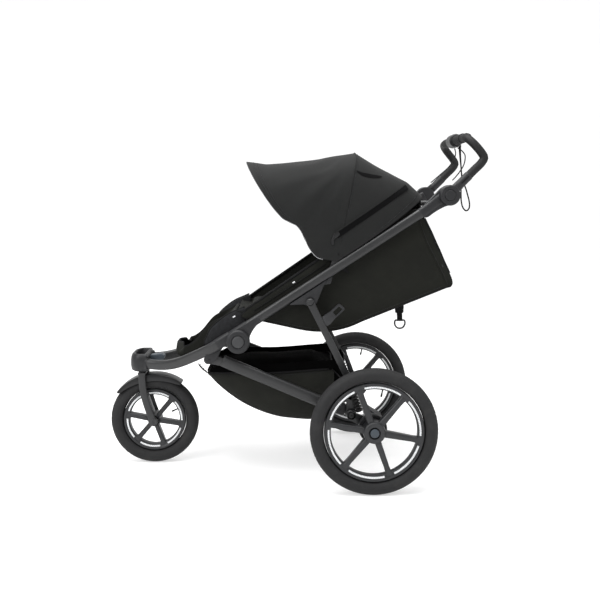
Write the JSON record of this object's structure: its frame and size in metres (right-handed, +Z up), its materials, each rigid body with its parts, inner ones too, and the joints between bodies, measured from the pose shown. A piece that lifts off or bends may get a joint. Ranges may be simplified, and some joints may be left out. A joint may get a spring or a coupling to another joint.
{
  "type": "baby stroller",
  "caption": "Folding three-wheeled jogging stroller with spoked air wheels, reclining fabric seat, two-bow canopy, under-seat basket, sprung rear axle and adjustable push handle.",
  "frame": {"origin": "on the ground under the middle of the stroller's overall box", "axes": "+X forward, towards the front wheel; +Y to the stroller's left; +Z up"},
  "size_m": [1.2558, 0.69, 1.142],
  "materials": {
    "frame_paint": "satin dark grey",
    "hard_plastic": "fine moulded texture, charcoal",
    "accent_plastic": "satin blue-grey",
    "seat_fabric": "woven polyester, near black",
    "canopy_fabric": "coated woven polyester, near black",
    "basket_fabric": "coated woven polyester, dark grey",
    "tyre_rubber": "matt black-grey rubber",
    "grip_rubber": "soft-touch",
    "bare_metal": "brushed"
  },
  "bodies": {
    "upper_frame": {"upper_tube_l": "frame_paint", "upper_tube_r": "frame_paint", "handle_housing_l": "hard_plastic", "handle_housing_r": "hard_plastic", "rear_cross_tube": "frame_paint", "fold_hub_l": "hard_plastic", "fold_hub_r": "hard_plastic", "leg_bracket_l": "hard_plastic", "leg_bracket_r": "hard_plastic", "seat_side_l": "seat_fabric", "seat_side_r": "seat_fabric", "seat_base": "seat_fabric", "head_panel": "seat_fabric", "harness_buckle": "hard_plastic", "canopy_rear": "canopy_fabric"},
    "buckle_button": {"buckle_button": "accent_plastic"},
    "backrest": {"backrest": "seat_fabric", "recline_ring": "bare_metal"},
    "canopy_mid": {"canopy_mid_bow": "bare_metal"},
    "canopy_front": {"canopy_front_bow": "bare_metal", "canopy_front": "canopy_fabric"},
    "handlebar": {"handlebar": "frame_paint", "handle_grip": "grip_rubber", "handle_hub_l": "hard_plastic", "handle_hub_r": "hard_plastic", "brake_cable_l": "hard_plastic", "brake_cable_r": "hard_plastic", "wrist_strap": "seat_fabric"},
    "brake_control": {"brake_control": "hard_plastic"},
    "handle_button_l": {"handle_button_l": "hard_plastic"},
    "handle_button_r": {"handle_button_r": "hard_plastic"},
    "front_frame": {"front_tube_l": "frame_paint", "front_tube_r": "frame_paint", "front_hinge_l": "hard_plastic", "front_hinge_r": "hard_plastic", "head_block": "hard_plastic", "footrest": "seat_fabric"},
    "swivel_lock": {"swivel_lock": "accent_plastic"},
    "front_fork": {"front_fork": "frame_paint", "front_fender": "hard_plastic", "front_axle": "bare_metal"},
    "front_wheel": {"front_tyre": "tyre_rubber", "front_rim": "hard_plastic"},
    "rear_legs": {"rear_legs": "frame_paint"},
    "latch_hook": {"latch_hook": "hard_plastic"},
    "lower_frame": {"lower_tubes": "frame_paint", "basket": "basket_fabric"},
    "rear_axle": {"axle_beam": "frame_paint", "brake_drum_l": "hard_plastic", "brake_drum_r": "hard_plastic", "shock_bellows_l": "tyre_rubber", "shock_bellows_r": "tyre_rubber"},
    "brake_pedal": {"brake_pedal": "hard_plastic"},
    "rear_wheel_l": {"rear_tyre_l": "tyre_rubber", "rear_rim_l": "hard_plastic"},
    "rear_wheel_r": {"rear_tyre_r": "tyre_rubber", "rear_rim_r": "hard_plastic"},
    "wheel_release_l": {"wheel_release_l": "accent_plastic"},
    "wheel_release_r": {"wheel_release_r": "accent_plastic"}
  },
  "joints": [
    {"name": "fold_hinge", "type": "hinge", "parent": "upper_frame", "child": "front_frame", "pos_m": [0.17, 0, 0.465], "axis": [0, 1, 0], "range_deg": [0, 135], "deforming": ["seat_side_l", "seat_side_r", "seat_base", "backrest", "head_panel", "basket", "recline_ring"]},
    {"name": "rear_leg_fold", "type": "hinge", "parent": "upper_frame", "child": "rear_legs", "pos_m": [-0.061, 0, 0.591], "axis": [0, 1, 0], "range_deg": [0, 64]},
    {"name": "lower_frame_fold", "type": "hinge", "parent": "rear_legs", "child": "lower_frame", "pos_m": [-0.192, 0, 0.231], "axis": [0, 1, 0], "range_deg": [-29, 0]},
    {"name": "suspension", "type": "hinge", "parent": "rear_legs", "child": "rear_axle", "pos_m": [-0.192, 0, 0.231], "axis": [0, 1, 0], "range_deg": [0, 8], "stiffness_Nm_per_rad": 250, "springref_deg": -5.73, "deforming": ["shock_bellows_l", "shock_bellows_r"]},
    {"name": "front_swivel", "type": "hinge", "parent": "front_frame", "child": "front_fork", "pos_m": [0.514, 0, 0.331], "axis": [0, 0, 1], "continuous": true},
    {"name": "front_wheel_spin", "type": "hinge", "parent": "front_fork", "child": "front_wheel", "pos_m": [0.475, 0, 0.153], "axis": [0, 1, 0], "continuous": true},
    {"name": "rear_wheel_l_spin", "type": "hinge", "parent": "rear_axle", "child": "rear_wheel_l", "pos_m": [-0.256, 0.32, 0.2], "axis": [0, 1, 0], "continuous": true},
    {"name": "rear_wheel_r_spin", "type": "hinge", "parent": "rear_axle", "child": "rear_wheel_r", "pos_m": [-0.256, -0.32, 0.2], "axis": [0, 1, 0], "continuous": true},
    {"name": "brake_pedal_press", "type": "hinge", "parent": "rear_axle", "child": "brake_pedal", "pos_m": [-0.256, 0, 0.2], "axis": [0, 1, 0], "range_deg": [-20, 0]},
    {"name": "swivel_lock_lift", "type": "hinge", "parent": "front_frame", "child": "swivel_lock", "pos_m": [0.486, 0, 0.379], "axis": [0, 1, 0], "range_deg": [0, 25]},
    {"name": "latch_hook_lift", "type": "hinge", "parent": "rear_legs", "child": "latch_hook", "pos_m": [-0.10344, 0.226, 0.54847], "axis": [0, 1, 0], "range_deg": [0, 12], "stiffness_Nm_per_rad": 1, "springref_deg": -5.73},
    {"name": "handlebar_adjust", "type": "hinge", "parent": "upper_frame", "child": "handlebar", "pos_m": [-0.504, 0, 0.932], "axis": [0, 1, 0], "range_deg": [-50, 40]},
    {"name": "brake_twist", "type": "hinge", "parent": "handlebar", "child": "brake_control", "pos_m": [-0.564, 0, 1.119], "axis": [0, 1, 0], "range_deg": [0, 40], "stiffness_Nm_per_rad": 1, "springref_deg": -5.73},
    {"name": "handle_button_l_press", "type": "slide", "parent": "handlebar", "child": "handle_button_l", "axis": [0, -1, 0], "range_m": [0, 0.003], "stiffness_N_per_m": 800, "springref_m": -0.001},
    {"name": "handle_button_r_press", "type": "slide", "parent": "handlebar", "child": "handle_button_r", "axis": [0, 1, 0], "range_m": [0, 0.003], "stiffness_N_per_m": 800, "springref_m": -0.001},
    {"name": "wheel_release_l_press", "type": "slide", "parent": "rear_wheel_l", "child": "wheel_release_l", "axis": [0, -1, 0], "range_m": [0, 0.003], "stiffness_N_per_m": 800, "springref_m": -0.001},
    {"name": "wheel_release_r_press", "type": "slide", "parent": "rear_wheel_r", "child": "wheel_release_r", "axis": [0, 1, 0], "range_m": [0, 0.003], "stiffness_N_per_m": 800, "springref_m": -0.001},
    {"name": "buckle_button_press", "type": "slide", "parent": "upper_frame", "child": "buckle_button", "axis": [0.196, 0, -0.9806], "range_m": [0, 0.002], "stiffness_N_per_m": 800, "springref_m": -0.001},
    {"name": "canopy_fold", "type": "hinge", "parent": "upper_frame", "child": "canopy_mid", "pos_m": [-0.151, 0, 0.745], "axis": [0, 1, 0], "range_deg": [-36, 0], "deforming": ["canopy_rear", "canopy_front"]},
    {"name": "canopy_front_fold", "type": "hinge", "parent": "canopy_mid", "child": "canopy_front", "pos_m": [-0.151, 0, 0.745], "axis": [0, 1, 0], "range_deg": [-36, 0]},
    {"name": "recline", "type": "hinge", "parent": "upper_frame", "child": "backrest", "pos_m": [-0.134, 0, 0.5], "axis": [0, 1, 0], "range_deg": [0, 45]}
  ],
  "couplings": [
    {"joint": "rear_leg_fold", "follows": "fold_hinge", "ratio": 0.47407},
    {"joint": "lower_frame_fold", "follows": "fold_hinge", "ratio": -0.21481},
    {"joint": "canopy_front_fold", "follows": "canopy_fold", "ratio": 1}
  ]
}
